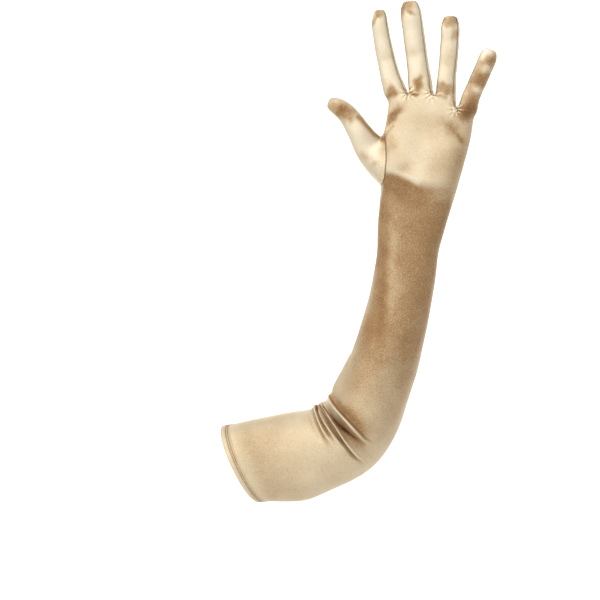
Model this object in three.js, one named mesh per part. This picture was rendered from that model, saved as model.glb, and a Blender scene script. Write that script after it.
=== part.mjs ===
// A long satin glove for a left hand, in the form that it has on an arm bent at the elbow. Millimetres.
// The forearm rises along +Z, the upper arm runs along +X from the open hem, the palm faces -Y. The
// origin is the middle of the open hem, where the arm goes in. The cloth is one closed surface. Its
// seams cut it into pattern pieces, and each piece is thickened inwards.
import * as THREE from "three";

// Cloth and seams
const wall = 1.2;
const seamGap = 0.3;
const hemWall = 2.2;
const hemDepth = 9;
const hemSlant = 18;

// Lengths along the middle of the sleeve
const upperLength = 110;
const foreLength = 178;
const palmLength = 152;

// Headings in degrees above +X, and how tightly the elbow bends
const upperHeading = 8;
const foreHeading = 70;
const wristHeading = 84;
const handHeading = 80;
const elbowRadius = 70;

// Widths are seen from the palm side, depths run from palm to back
const hemWidth = 75;
const hemThickness = 68;
const upperWidth = 85;
const upperThickness = 74;
const elbowWidth = 75;
const elbowThickness = 76;
const foreWidth = 64.5;
const foreThickness = 66;
const wristWidth = 57.5;
const wristThickness = 42;
const palmWidth = 80;
const palmThickness = 31;
const knuckleThickness = 21;

// Finger lengths from the knuckle to the tip, and the width of the middle finger
const indexLength = 84;
const middleLength = 86;
const ringLength = 76;
const littleLength = 61;
const fingerWidth = 20;
const fingerFlatness = 0.88;
const webGap = 3;

// Thumb, with its opening in the palm as shares of the palm's length
const thumbLength = 74.5;
const thumbWidth = 20;
const thumbFlatness = 0.9;
const thumbForward = 9;
const thumbFrom = 0.44;
const thumbTo = 0.765;

// How high the folds of the elbow, the forms of the palm and the cloth between thumb and palm stand out
const foldDepth = 4;
const palmFormHeight = 5;
const webHeight = 4.5;

// Fingers, with widths as shares of the middle finger's: root is the width on the line of the knuckles,
// width and tip those further out. The heading is the one at the knuckle, and turn and curl are the
// sideways turn and the forward lean on the way out.
const fingers = [
  {
    name: "index",
    length: indexLength, root: 0.88, width: 0.95, tip: 0.74,
    heading: 108.5, turn: -13, curl: 0.09,
  },
  {
    name: "middle",
    length: middleLength, root: 0.975, width: 1, tip: 0.92,
    heading: 97.5, turn: -1, curl: 0.07,
  },
  {
    name: "ring",
    length: ringLength, root: 1, width: 0.87, tip: 0.85,
    heading: 81.7, turn: 7, curl: 0.08,
  },
  {
    name: "little",
    length: littleLength, root: 0.8, width: 0.8, tip: 0.78,
    heading: 66.1, turn: 0, curl: 0.06,
  },
];

// Mesh columns: each finger has this many on the palm side and as many on the back
const fingerColumns = 4;
const columns = 8 * fingerColumns + 4;
const thumbFrontColumn = 1;
const thumbBackColumn = -3;
const thumbRows = 5;
const hemRows = 2;
const sleeveRowStep = 12;
const foreRowStep = 15;

// Stations along the middle of the sleeve
const elbowArc = THREE.MathUtils.degToRad(foreHeading - upperHeading) * elbowRadius;
const elbowStart = upperLength - elbowArc / 2;
const elbowEnd = upperLength + elbowArc / 2;
const wristAt = upperLength + foreLength;
const knuckleAt = wristAt + palmLength;

const headings = [
  { at: 0, heading: upperHeading },
  { at: 0.4 * upperLength, heading: upperHeading },
  { at: elbowStart, heading: upperHeading + 5 },
  { at: elbowEnd, heading: foreHeading },
  { at: upperLength + 0.72 * foreLength, heading: 0.52 * foreHeading + 0.48 * wristHeading },
  { at: wristAt, heading: wristHeading },
  { at: wristAt + 0.33 * palmLength, heading: handHeading - 1 },
  { at: knuckleAt, heading: handHeading + 2 },
];

// Sections of the sleeve and palm. Fullness 2 is an ellipse, more is squarer.
const alongFore = (share) => upperLength + share * foreLength;
const alongPalm = (share) => wristAt + share * palmLength;
const sections = [
  { at: 0, width: hemWidth, depth: hemThickness, fullness: 2 },
  { at: 0.54 * upperLength, width: upperWidth, depth: upperThickness, fullness: 2 },
  { at: upperLength, width: elbowWidth, depth: elbowThickness, fullness: 2 },
  { at: alongFore(0.18), width: 1.03 * foreWidth, depth: 1.08 * foreThickness, fullness: 2 },
  { at: alongFore(0.5), width: 0.98 * foreWidth, depth: foreThickness, fullness: 2 },
  { at: alongFore(0.73), width: 0.92 * foreWidth, depth: 0.83 * foreThickness, fullness: 2.1 },
  { at: wristAt, width: wristWidth, depth: wristThickness, fullness: 2.2 },
  { at: alongPalm(0.15), width: 0.77 * palmWidth, depth: 1.3 * palmThickness, fullness: 2.3 },
  { at: alongPalm(0.34), width: 0.86 * palmWidth, depth: 1.2 * palmThickness, fullness: 2.5 },
  { at: alongPalm(0.55), width: 0.95 * palmWidth, depth: 1.08 * palmThickness, fullness: 2.7 },
  { at: alongPalm(0.75), width: palmWidth, depth: 0.95 * palmThickness, fullness: 2.9 },
  { at: knuckleAt, width: 0, depth: knuckleThickness, fullness: 2.9 },
];

// The line of the knuckles: across is the share of the hand's width from the thumb side,
// along the share of the palm's length that the line lies beyond the middle crotch
const knuckleLine = [
  { across: 0, along: -0.075 },
  { across: 0.25, along: -0.02 },
  { across: 0.53, along: 0 },
  { across: 0.79, along: -0.066 },
  { across: 1, along: -0.105 },
];

// Folds at the inside of the elbow, as shares of the bend's length from its middle. The pull is the
// further share at the crook itself, and height is a share of foldDepth. Reach is how many degrees
// round the arm a fold runs, on the palm side and the back.
const folds = [
  { at: -0.3, pull: -0.06, half: 0.06, height: 0.25, reach: 78, backReach: 60 },
  { at: -0.13, pull: -0.08, half: 0.05, height: 0.65, reach: 96, backReach: 66 },
  { at: -0.04, pull: -0.06, half: 0.032, height: 0.65, reach: 125, backReach: 92 },
  { at: 0.05, pull: -0.05, half: 0.034, height: 1, reach: 130, backReach: 104 },
  { at: 0.13, pull: 0.04, half: 0.05, height: -0.65, reach: 112, backReach: 96 },
  { at: 0.235, pull: 0.14, half: 0.055, height: 1.1, reach: 122, backReach: 110 },
  { at: 0.38, pull: 0.1, half: 0.08, height: 0.1, reach: 90, backReach: 80 },
];

// Raised and hollow forms of the palm: along is a share of the palm's length, across runs from 1 at the
// thumb side to -1, spread is a share of the palm's width, and height one of palmFormHeight
const palmForms = [
  { name: "thumb ball", along: 0.45, across: 0.5, spread: 0.3, height: 1 },
  { name: "heel", along: 0.4, across: -0.5, spread: 0.32, height: 0.7 },
  { name: "hollow", along: 0.66, across: 0.05, spread: 0.26, height: -0.6 },
];

// How far the cloth stands out sideways between the thumb and the palm, as shares of the palm
const webForm = { along: 0.74, length: 0.12, width: 0.35 };

// How the columns beside the thumb are moved across, so that its seam starts at the outline of the hand
// and runs down over the ball of the thumb: nudge on the palm side, and on the back pinch draws them
// together
const thumbEdge = [
  { along: 0.2, nudge: 0, pinch: 1 },
  { along: 0.4, nudge: -0.13, pinch: 1 },
  { along: 0.52, nudge: -0.19, pinch: 1 },
  { along: 0.64, nudge: -0.16, pinch: 0.85 },
  { along: 0.765, nudge: -0.06, pinch: 0.5 },
  { along: 1, nudge: 0, pinch: 1 },
];
const nudged = { from: 0.1, to: 0.98 };
const pinched = { from: 0.3, to: 0.8 };

// Finger and thumb sections along their length
const fingerShape = [
  { at: 0, size: 1, strip: 44 },
  { at: 0.12, size: 1.08, strip: 34 },
  { at: 0.28, size: 1.02, strip: 32 },
  { at: 0.45, size: 1, strip: 30 },
  { at: 0.62, size: 1, strip: 28 },
  { at: 0.78, size: 1.02, strip: 26 },
  { at: 0.88, size: 1, strip: 22 },
  { at: 0.94, size: 0.88, strip: 18 },
  { at: 0.98, size: 0.66, strip: 16 },
  { at: 1, size: 0.36, strip: 16 },
];
const thumbShape = [
  { at: 0, size: 2, heading: 147 },
  { at: 0.12, size: 1.42, heading: 141 },
  { at: 0.25, size: 1.2, heading: 131 },
  { at: 0.4, size: 1.09, heading: 123 },
  { at: 0.55, size: 0.99, heading: 121 },
  { at: 0.68, size: 0.93, heading: 128 },
  { at: 0.8, size: 0.86, heading: 142 },
  { at: 0.9, size: 0.75, heading: 154 },
  { at: 0.97, size: 0.5, heading: 160 },
  { at: 1, size: 0.26, heading: 160 },
];

// How the thumb leaves its opening, as shares of its length: it is round by roundBy, fully forward by
// forwardBy, and its section is flattened at flatStart times its width, down to the width by flatBy
const thumbRoot = { roundBy: 0.22, forwardBy: 0.5, flatStart: 1.25, flatBy: 0.6, firstCorner: -45 };

// The sharpest corner of a seam, as the least that its two sides may share of one direction
const seamCorner = 0.4;

const radians = THREE.MathUtils.degToRad;
const mix = THREE.MathUtils.lerp;
const smooth = THREE.MathUtils.smoothstep;

// Reads one column of a table at a place between its rows, on a smooth curve through them.
function read(table, key, place, column) {
  const last = table.length - 1;
  if (place <= table[0][key]) return table[0][column];
  if (place >= table[last][key]) return table[last][column];
  const i = table.findIndex((row, n) => n < last && place < table[n + 1][key]);
  const slope = (n) => {
    const a = table[Math.max(n - 1, 0)];
    const b = table[Math.min(n + 1, last)];
    return (b[column] - a[column]) / (b[key] - a[key]);
  };
  const span = table[i + 1][key] - table[i][key];
  const t = (place - table[i][key]) / span;
  const rise = table[i + 1][column] - table[i][column];
  const bend = t * (1 - t) * ((1 - t) * (slope(i) * span - rise) - t * (slope(i + 1) * span - rise));
  return mix(table[i][column], table[i + 1][column], t) + bend;
}

// The same, on straight lines between the rows.
function readStraight(table, key, place, column) {
  const last = table.length - 1;
  if (place <= table[0][key]) return table[0][column];
  if (place >= table[last][key]) return table[last][column];
  const i = table.findIndex((row, n) => n < last && place < table[n + 1][key]);
  const t = (place - table[i][key]) / (table[i + 1][key] - table[i][key]);
  return mix(table[i][column], table[i + 1][column], t);
}

const ahead = (degrees) => new THREE.Vector3(Math.cos(radians(degrees)), 0, Math.sin(radians(degrees)));
const leftOf = (degrees) => new THREE.Vector3(-Math.sin(radians(degrees)), 0, Math.cos(radians(degrees)));
const towardsBack = new THREE.Vector3(0, 1, 0);

// Walks from a start in short steps, turning as headingAt says, and returns the place at any distance.
function walk(start, length, headingAt) {
  const steps = Math.ceil(length);
  const stride = length / steps;
  const places = [start.clone()];
  for (let i = 0; i < steps; i += 1) {
    const heading = headingAt((i + 0.5) * stride);
    places.push(places[i].clone().addScaledVector(ahead(heading), stride));
  }
  return (distance) => {
    const i = THREE.MathUtils.clamp(Math.floor(distance / stride), 0, steps - 1);
    return places[i].clone().lerp(places[i + 1], distance / stride - i);
  };
}

const sleeveHeading = (at) => readStraight(headings, "at", at, "heading");
const sleevePlace = walk(new THREE.Vector3(0, 0, 0), knuckleAt, sleeveHeading);

// Where each finger sits on the line of the knuckles, measured from the thumb side
const rootOf = (finger) => finger.root * fingerWidth;
const knuckleWidth = fingers.reduce((sum, finger) => sum + rootOf(finger), (fingers.length - 1) * webGap);
sections[sections.length - 1].width = knuckleWidth;
let edge = 0;
for (const [i, finger] of fingers.entries()) {
  const first = i === 0;
  const final = i === fingers.length - 1;
  finger.from = edge;
  finger.to = edge + rootOf(finger) + (first || final ? 0.5 : 1) * webGap;
  finger.middle = finger.from + (first ? 0 : 0.5 * webGap) + 0.5 * rootOf(finger);
  edge = finger.to;
}

// How far across the hand a column lies on the line of the knuckles, from 1 at the thumb side to -1
const sideInset = 0.1;
function acrossKnuckles(column) {
  const half = columns / 2;
  const front = column <= half ? column : columns - column;
  if (front === 0) return 1;
  if (front === half) return -1;
  const i = Math.min(Math.floor((front - 1) / fingerColumns), fingers.length - 1);
  const finger = fingers[i];
  const from = finger.from + (i === 0 ? sideInset * rootOf(finger) : 0);
  const to = finger.to - (i === fingers.length - 1 ? sideInset * rootOf(finger) : 0);
  const share = (front - 1 - i * fingerColumns) / fingerColumns;
  return 1 - (2 * mix(from, to, share)) / knuckleWidth;
}

// How far the folds of the elbow stand out at a station and an angle round the arm.
function foldHeight(at, angle) {
  const turned = angle > 180 ? 360 - angle : angle;
  const onBack = angle > 180;
  let height = 0;
  for (const fold of folds) {
    const reach = onBack ? fold.backReach : fold.reach;
    const fade = 1 - smooth(turned, 0.45 * reach, reach);
    const start = mix(0.75, 1, smooth(turned, 0, 25));
    const off = (at - upperLength) / elbowArc - fold.at;
    const share = Math.min(Math.abs(off) / (2 * fold.half), 1);
    height += foldDepth * fold.height * fade * start * 0.5 * (1 + Math.cos(Math.PI * share));
  }
  return height;
}

// How far the mesh rows are pulled along the arm at the crook, so that they keep to the folds.
const pulls = [{ at: -0.6, pull: 0 }, ...folds, { at: 0.75, pull: 0 }];
function crookPull(at, angle) {
  const turned = Math.min(angle, 360 - angle);
  const share = (at - upperLength) / elbowArc;
  return readStraight(pulls, "at", share, "pull") * elbowArc * (1 - smooth(turned, 0, 50));
}

function formHeight(along, across) {
  let height = 0;
  for (const form of palmForms) {
    const up = ((along - form.along) * palmLength) / (form.spread * palmWidth);
    const over = ((across - form.across) * 0.5) / form.spread;
    height += palmFormHeight * form.height * Math.exp(-up * up - over * over);
  }
  return height;
}

// A point of the sleeve or palm. Across runs from 1 at the thumb side to -1, on the palm side or the
// back. Lift stands out from the middle of the arm, and bulge towards the palm side.
function sleevePoint(at, across, onBack, lift, bulge) {
  const width = read(sections, "at", at, "width");
  const depth = read(sections, "at", at, "depth");
  const fullness = read(sections, "at", at, "fullness");
  const out = Math.pow(Math.max(1 - Math.pow(Math.abs(across), fullness), 0), 1 / fullness);
  const left = leftOf(sleeveHeading(at));
  const side = across * width * 0.5;
  const rise = out * (onBack ? depth * 0.5 : -depth * 0.5 - bulge);
  const away = Math.hypot(side, rise);
  const grow = 1 + lift / away;
  return sleevePlace(at)
    .addScaledVector(left, side * grow)
    .addScaledVector(towardsBack, rise * grow);
}

// The surface: points, and faces that each belong to one pattern piece
const points = [];
const faces = [];

function addRing(ring) {
  return ring.map((point) => points.push(point) - 1);
}

function addTube(lower, upper, pieceOf) {
  for (let i = 0; i < lower.length; i += 1) {
    const next = (i + 1) % lower.length;
    const piece = pieceOf(i);
    if (piece) faces.push({ piece, corners: [lower[i], lower[next], upper[next], upper[i]] });
  }
}

// Closes a tip with a strip between its palm side and its back.
function addTip(ring, pairs, piece) {
  for (let i = 0; i + 1 < pairs.length; i += 1) {
    const [a, b] = pairs[i];
    const [c, d] = pairs[i + 1];
    const corners = [ring[a], ring[c], ring[d], ring[b]];
    faces.push({ piece, corners: corners.filter((corner, n) => corners.indexOf(corner) === n) });
  }
}

// Rows of the sleeve: plain ones a step apart, and in the bend the feet and crests of the folds
function evenly(from, to, step) {
  const count = Math.max(Math.round((to - from) / step), 1);
  return Array.from({ length: count }, (unused, i) => mix(from, to, (i + 1) / count));
}

function foldRows() {
  const rows = [];
  for (const fold of folds) {
    for (const side of [-1, 0, 1]) rows.push(upperLength + (fold.at + side * fold.half) * elbowArc);
  }
  rows.sort((a, b) => a - b);
  return rows.filter((row, i) => i === 0 || row - rows[i - 1] > 0.02 * elbowArc);
}

const bendRows = foldRows();
const sleeveRows = [
  0,
  ...evenly(0, hemDepth, hemDepth / hemRows),
  ...evenly(hemDepth, bendRows[0], sleeveRowStep),
  ...bendRows.slice(1),
  ...evenly(bendRows[bendRows.length - 1], wristAt, foreRowStep),
];
const palmRows = [
  ...evenly(0, thumbFrom, 0.11),
  ...evenly(thumbFrom, thumbTo, (thumbTo - thumbFrom) / thumbRows),
  ...evenly(thumbTo, 1, 0.08),
];

function sleeveRing(at) {
  const slantFade = 1 - smooth(at, 0, 0.7 * upperLength);
  return Array.from({ length: columns }, (unused, column) => {
    const angle = (360 * column) / columns;
    const across = Math.cos(radians(angle));
    const slant = Math.tan(radians(hemSlant)) * across * hemWidth * 0.5 * slantFade;
    const place = at + crookPull(at, angle);
    const lift = foldHeight(at, angle);
    return sleevePoint(place, across, column > columns / 2, lift, 0)
      .addScaledVector(ahead(upperHeading), -slant);
  });
}

function besideThumb(along, spread, column) {
  if (column === 0) return spread;
  if (column <= columns / 2) {
    const nudge = read(thumbEdge, "along", along, "nudge") * smooth(spread, nudged.from, nudged.to);
    return Math.min(spread + nudge, 0.995);
  }
  const pinch = read(thumbEdge, "along", along, "pinch");
  return mix(spread, 1 - (1 - spread) * pinch, smooth(spread, pinched.from, pinched.to));
}

function palmRing(along) {
  return Array.from({ length: columns }, (unused, column) => {
    const even = Math.cos(radians((360 * column) / columns));
    const spread = mix(even, acrossKnuckles(column), smooth(along, 0, 1));
    const across = besideThumb(along, spread, column);
    const reach = read(knuckleLine, "across", 0.5 * (1 - across), "along");
    const at = wristAt + palmLength * along * (1 + reach);
    const rise = (along - webForm.along) / webForm.length;
    const web = webHeight * Math.exp(-rise * rise) * smooth(across, 1 - webForm.width, 1);
    return sleevePoint(at, across, column > columns / 2, 0, formHeight(along, across))
      .addScaledVector(leftOf(sleeveHeading(at)), web);
  });
}

let lower = addRing(sleeveRing(sleeveRows[0]));
for (const [i, at] of sleeveRows.slice(1).entries()) {
  const upper = addRing(sleeveRing(at));
  addTube(lower, upper, () => (i < hemRows ? "hem" : "trank"));
  lower = upper;
}

const inThumbOpening = (column) => column < thumbFrontColumn || column >= columns + thumbBackColumn;
const openingRings = [];
for (const along of palmRows) {
  const upper = addRing(palmRing(along));
  const open = along > thumbFrom + 1e-9 && along < thumbTo + 1e-9;
  if (open && openingRings.length === 0) openingRings.push(lower);
  if (open) openingRings.push(upper);
  addTube(lower, upper, (column) => (open && inThumbOpening(column) ? null : "trank"));
  lower = upper;
}
const knuckleRing = lower;

// Fingers. Side strips between two fingers belong to the fourchette that joins them.
const sideStart = fingerColumns;
const ringSize = 2 * fingerColumns + 4;
const between = fingers.slice(1).map((finger, i) => "fourchette_" + fingers[i].name + "_" + finger.name);
const webs = fingers.slice(1).map((finger, i) => {
  const column = (i + 1) * fingerColumns + 1;
  const front = points[knuckleRing[column]];
  const back = points[knuckleRing[columns - column]];
  return points.push(front.clone().lerp(back, 0.5).addScaledVector(ahead(handHeading), -0.1 * webGap)) - 1;
});

function pieceOfFinger(i, place) {
  const outer = place === sideStart || place === sideStart + 1;
  const inner = place >= ringSize - 2;
  if (outer && i < between.length) return between[i];
  if (inner && i > 0) return between[i - 1];
  return "trank";
}

function fingerRing(finger, place, heading, shape) {
  const width = fingerWidth * mix(finger.width, finger.tip, shape.at) * shape.size;
  const depth = width * fingerFlatness;
  const angles = [];
  for (let i = 0; i <= fingerColumns; i += 1) {
    angles.push(mix(shape.strip, 180 - shape.strip, i / fingerColumns));
  }
  angles.push(180);
  for (let i = fingerColumns; i >= 0; i -= 1) angles.push(360 - angles[i]);
  angles.push(360);
  return angles.map((angle) =>
    place
      .clone()
      .addScaledVector(leftOf(heading), Math.cos(radians(angle)) * width * 0.5)
      .addScaledVector(towardsBack, -Math.sin(radians(angle)) * depth * 0.5),
  );
}

for (const [i, finger] of fingers.entries()) {
  const start = i * fingerColumns + 1;
  const front = knuckleRing.slice(start, start + fingerColumns + 1);
  const back = front.map((unused, n) => knuckleRing[columns - start - n]).reverse();
  const outer = i < webs.length ? webs[i] : knuckleRing[columns / 2];
  const inner = i > 0 ? webs[i - 1] : knuckleRing[0];
  let ring = [...front, outer, ...back, inner];
  const across = 1 - (2 * finger.middle) / knuckleWidth;
  const at = knuckleAt + palmLength * read(knuckleLine, "across", 0.5 * (1 - across), "along");
  const root = sleevePlace(at).addScaledVector(leftOf(sleeveHeading(at)), across * knuckleWidth * 0.5);
  const headingAt = (distance) => finger.heading + (finger.turn * distance) / finger.length;
  const placeAt = walk(root, finger.length, headingAt);
  for (const shape of fingerShape.slice(1)) {
    const distance = shape.at * finger.length;
    const forward = finger.curl * finger.length * shape.at * shape.at;
    const place = placeAt(distance).addScaledVector(towardsBack, -forward);
    const next = addRing(fingerRing(finger, place, headingAt(distance), shape));
    addTube(ring, next, (column) => pieceOfFinger(i, column));
    ring = next;
  }
  const pairs = [[ringSize - 1, ringSize - 1]];
  for (let n = 0; n <= fingerColumns; n += 1) pairs.push([n, ringSize - 2 - n]);
  pairs.push([fingerColumns + 1, fingerColumns + 1]);
  addTip(ring, pairs, "trank");
}

// Thumb: its first ring is the edge of its opening in the palm, taken round from the top of the palm
// side
function openingEdge() {
  const back = columns + thumbBackColumn;
  const top = openingRings[thumbRows];
  const bottom = openingRings[0];
  const over = [];
  for (let column = thumbFrontColumn; column > thumbBackColumn; column -= 1) {
    over.push((column + columns) % columns);
  }
  const under = over.map((column, n) => (thumbBackColumn + n + columns) % columns);
  const down = openingRings.slice(1).reverse().map((ring) => ring[back]);
  const up = openingRings.slice(0, -1).map((ring) => ring[thumbFrontColumn]);
  return [...over.map((column) => top[column]), ...down, ...under.map((column) => bottom[column]), ...up];
}

let thumbRing = openingEdge();
const openingPoints = thumbRing.map((id) => points[id]);
const thumbStart = openingPoints
  .reduce((sum, point) => sum.add(point), new THREE.Vector3())
  .divideScalar(openingPoints.length);
const thumbHeading = (distance) => read(thumbShape, "at", distance / thumbLength, "heading");
const thumbPlace = walk(thumbStart, thumbLength, thumbHeading);
for (const shape of thumbShape.slice(1)) {
  const distance = shape.at * thumbLength;
  const heading = thumbHeading(distance);
  const width = thumbWidth * shape.size;
  const flat = mix(thumbRoot.flatStart, 1, smooth(shape.at, 0, thumbRoot.flatBy));
  const depth = thumbWidth * thumbFlatness * Math.min(shape.size, flat);
  const forward = thumbForward * smooth(shape.at, 0, thumbRoot.forwardBy);
  const blend = smooth(shape.at, 0, thumbRoot.roundBy);
  const centre = thumbPlace(distance).addScaledVector(towardsBack, -forward);
  const shift = centre.clone().sub(thumbStart);
  const ring = openingPoints.map((point, n) => {
    const angle = radians(thumbRoot.firstCorner + (360 * n) / openingPoints.length);
    const round = centre
      .clone()
      .addScaledVector(leftOf(heading), -Math.cos(angle) * width * 0.5)
      .addScaledVector(towardsBack, Math.sin(angle) * depth * 0.5);
    return point.clone().add(shift).lerp(round, blend);
  });
  const next = addRing(ring);
  addTube(thumbRing, next, () => "thumb");
  thumbRing = next;
}
const thumbPairs = [];
const cornerTurn = thumbFrontColumn - thumbBackColumn;
const round = (n) => (n + thumbRing.length) % thumbRing.length;
for (let n = Math.floor(cornerTurn / 2); n >= (cornerTurn - thumbRing.length) / 2; n -= 1) {
  thumbPairs.push([round(n), round(cornerTurn - n)]);
}
addTip(thumbRing, thumbPairs.map(([a, b]) => [b, a]), "thumb");

// One outward direction for each point, shared by all the pieces that meet there
const outward = points.map(() => new THREE.Vector3());
for (const { corners } of faces) {
  const [a, b, c, d] = corners.map((id) => points[id]);
  const first = c.clone().sub(a);
  const second = (d ?? a).clone().sub(b);
  const normal = first.cross(second);
  for (const id of corners) outward[id].add(normal);
}
for (const direction of outward) direction.normalize();

// Thickens one pattern piece inwards. Its seams stand back by half the gap on either side.
function clothPiece(name, thickness) {
  const own = faces.filter((face) => face.piece === name);
  const edges = new Map();
  for (const { corners } of own) {
    for (const [n, from] of corners.entries()) {
      const to = corners[(n + 1) % corners.length];
      edges.set(from + "_" + to, [from, to]);
    }
  }
  const rims = [...edges.values()].filter(([from, to]) => !edges.has(to + "_" + from));
  const shared = new Set(faces.filter((face) => face.piece !== name).flatMap((face) => face.corners));
  const inwards = new Map();
  for (const [from, to] of rims) {
    const direction = points[to].clone().sub(points[from]);
    for (const id of [from, to]) {
      const side = outward[id].clone().cross(direction).normalize();
      inwards.set(id, [...(inwards.get(id) ?? []), side]);
    }
  }
  const ids = [...new Set(own.flatMap((face) => face.corners))];
  const number = new Map(ids.map((id, n) => [id, n]));
  const outer = ids.map((id) => {
    if (!inwards.has(id) || !shared.has(id)) return points[id].clone();
    const [first, second] = inwards.get(id);
    const stretch = Math.max(1 + first.dot(second), seamCorner);
    return points[id].clone().addScaledVector(first.clone().add(second), seamGap / 2 / stretch);
  });
  const inner = outer.map((point, n) => point.clone().addScaledVector(outward[ids[n]], -thickness));
  const all = [...outer, ...inner];
  const count = outer.length;
  const triangles = [];
  for (const { corners } of own) {
    const [a, b, c, d] = corners.map((id) => number.get(id));
    const halves = [[a, b, c]];
    if (d !== undefined) {
      const turned = outer[b].distanceTo(outer[d]) < outer[a].distanceTo(outer[c]);
      halves.splice(0, 1, ...(turned ? [[a, b, d], [b, c, d]] : [[a, b, c], [a, c, d]]));
    }
    for (const [i, j, k] of halves) triangles.push(i, j, k, i + count, k + count, j + count);
  }
  for (const [from, to] of rims) {
    const a = number.get(from);
    const b = number.get(to);
    if (from < to) triangles.push(b, a, b + count, a, a + count, b + count);
    else triangles.push(b, a, a + count, b, a + count, b + count);
  }
  const geometry = new THREE.BufferGeometry().setFromPoints(all);
  geometry.setIndex(triangles);
  geometry.computeVertexNormals();
  return geometry;
}

const satin = { color: 0xd8bd8c, roughness: 0.34, metalness: 0.25 };
const glove = new THREE.Group();
glove.name = "satin_opera_glove";
const thickness = (name) => (name === "hem" ? hemWall : wall);
for (const name of ["trank", "thumb", ...between, "hem"]) {
  const material = new THREE.MeshStandardMaterial(satin);
  const mesh = new THREE.Mesh(clothPiece(name, thickness(name)), material);
  mesh.name = name;
  glove.add(mesh);
}

export default glove;
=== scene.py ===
import bpy
import numpy as np
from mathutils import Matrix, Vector


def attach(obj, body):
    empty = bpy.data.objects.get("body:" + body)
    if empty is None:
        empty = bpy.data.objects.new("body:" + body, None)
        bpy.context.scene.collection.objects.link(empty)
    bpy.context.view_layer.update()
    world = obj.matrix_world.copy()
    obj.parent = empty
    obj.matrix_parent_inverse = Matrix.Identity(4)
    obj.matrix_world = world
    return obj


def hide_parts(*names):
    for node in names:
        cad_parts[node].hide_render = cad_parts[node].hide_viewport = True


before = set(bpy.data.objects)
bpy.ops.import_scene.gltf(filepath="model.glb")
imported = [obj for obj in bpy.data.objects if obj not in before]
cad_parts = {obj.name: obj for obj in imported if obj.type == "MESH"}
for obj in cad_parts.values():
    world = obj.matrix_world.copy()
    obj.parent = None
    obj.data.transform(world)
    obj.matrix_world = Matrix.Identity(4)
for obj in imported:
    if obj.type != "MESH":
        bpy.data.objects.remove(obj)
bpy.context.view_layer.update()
mm = 0.001  # the glove is worked out in millimetres, from the middle of its open hem


# sizes of the sleeve and palm, the same as in the part's source

sleeve = {
    "columns": 36,
    "hemDepth": 9,
    "hemSlant": 18,
    "upperLength": 110,
    "foreLength": 178,
    "palmLength": 152,
    "upperHeading": 8,
    "foreHeading": 70,
    "wristHeading": 84,
    "handHeading": 80,
    "elbowRadius": 70,
    "hemWidth": 75,
    "palmWidth": 80,
    "webGap": 3,
}
elbowArc = np.radians(sleeve["foreHeading"] - sleeve["upperHeading"]) * sleeve["elbowRadius"]
elbowAt = sleeve["upperLength"]
wristAt = elbowAt + sleeve["foreLength"]
knuckleAt = wristAt + sleeve["palmLength"]


def smooth(value, low, high):  # an s-curve from 0 at low to 1 at high
    t = np.clip((value - low) / (high - low), 0, 1)
    return t * t * (3 - 2 * t)


def mix(a, b, t):
    return a + (b - a) * t


def bell(away, reach):  # 1 in the middle and fading out on both sides
    return np.exp(-((away / reach) ** 2))


def through(rows, place, column=1):
    # a smooth curve through the rows of a table: cubic pieces whose slopes come from each row's neighbours
    x = np.array([row[0] for row in rows], float)
    y = np.array([row[column] for row in rows], float)
    place = np.clip(place, x[0], x[-1])
    i = np.clip(np.searchsorted(x, place, side="right") - 1, 0, len(x) - 2)
    before, after = np.maximum(np.arange(len(x)) - 1, 0), np.minimum(np.arange(len(x)) + 1, len(x) - 1)
    slope = (y[after] - y[before]) / (x[after] - x[before])
    span, rise = x[i + 1] - x[i], y[i + 1] - y[i]
    t = (place - x[i]) / span
    bend = t * (1 - t) * ((1 - t) * (slope[i] * span - rise) - t * (slope[i + 1] * span - rise))
    return y[i] + rise * t + bend


headings = [
    (0, sleeve["upperHeading"]),
    (0.4 * elbowAt, sleeve["upperHeading"]),
    (elbowAt - elbowArc / 2, sleeve["upperHeading"] + 5),
    (elbowAt + elbowArc / 2, sleeve["foreHeading"]),
    (elbowAt + 0.72 * sleeve["foreLength"], 0.52 * sleeve["foreHeading"] + 0.48 * sleeve["wristHeading"]),
    (wristAt, sleeve["wristHeading"]),
    (wristAt + 0.33 * sleeve["palmLength"], sleeve["handHeading"] - 1),
    (knuckleAt, sleeve["handHeading"] + 2),
]

# place along the sleeve, width seen from the palm, depth from palm to back, fullness of the section
sections = [
    (0, 75, 68, 2),
    (0.54 * elbowAt, 85, 74, 2),
    (elbowAt, 75, 76, 2),
    (elbowAt + 0.18 * sleeve["foreLength"], 66.4, 71.3, 2),
    (elbowAt + 0.5 * sleeve["foreLength"], 63.2, 66, 2),
    (elbowAt + 0.73 * sleeve["foreLength"], 59.3, 54.8, 2.1),
    (wristAt, 57.5, 42, 2.2),
    (wristAt + 0.15 * sleeve["palmLength"], 61.6, 40.3, 2.3),
    (wristAt + 0.34 * sleeve["palmLength"], 68.8, 37.2, 2.5),
    (wristAt + 0.55 * sleeve["palmLength"], 76, 33.5, 2.7),
    (wristAt + 0.75 * sleeve["palmLength"], 80, 29.5, 2.9),
    (knuckleAt, 82.1, 21, 2.9),
]

# share of the hand's width from the thumb side, share of the palm's length that the knuckles lie further out
knuckleLine = [(0, -0.075), (0.25, -0.02), (0.53, 0), (0.79, -0.066), (1, -0.105)]

# share of the palm's length, nudge of the columns on the palm side, pinch of those on the back
thumbEdge = [(0.2, 0, 1), (0.4, -0.13, 1), (0.52, -0.19, 1), (0.64, -0.16, 0.85), (0.765, -0.06, 0.5), (1, 0, 1)]


def headingAt(at):
    return np.interp(at, [row[0] for row in headings], [row[1] for row in headings])


def direction(heading):  # the way the sleeve runs, as a vector for each heading
    turn = np.radians(heading)
    return np.stack([np.cos(turn), np.zeros_like(turn), np.sin(turn)], -1)


def leftOf(heading):
    return direction(heading + 90)


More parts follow.
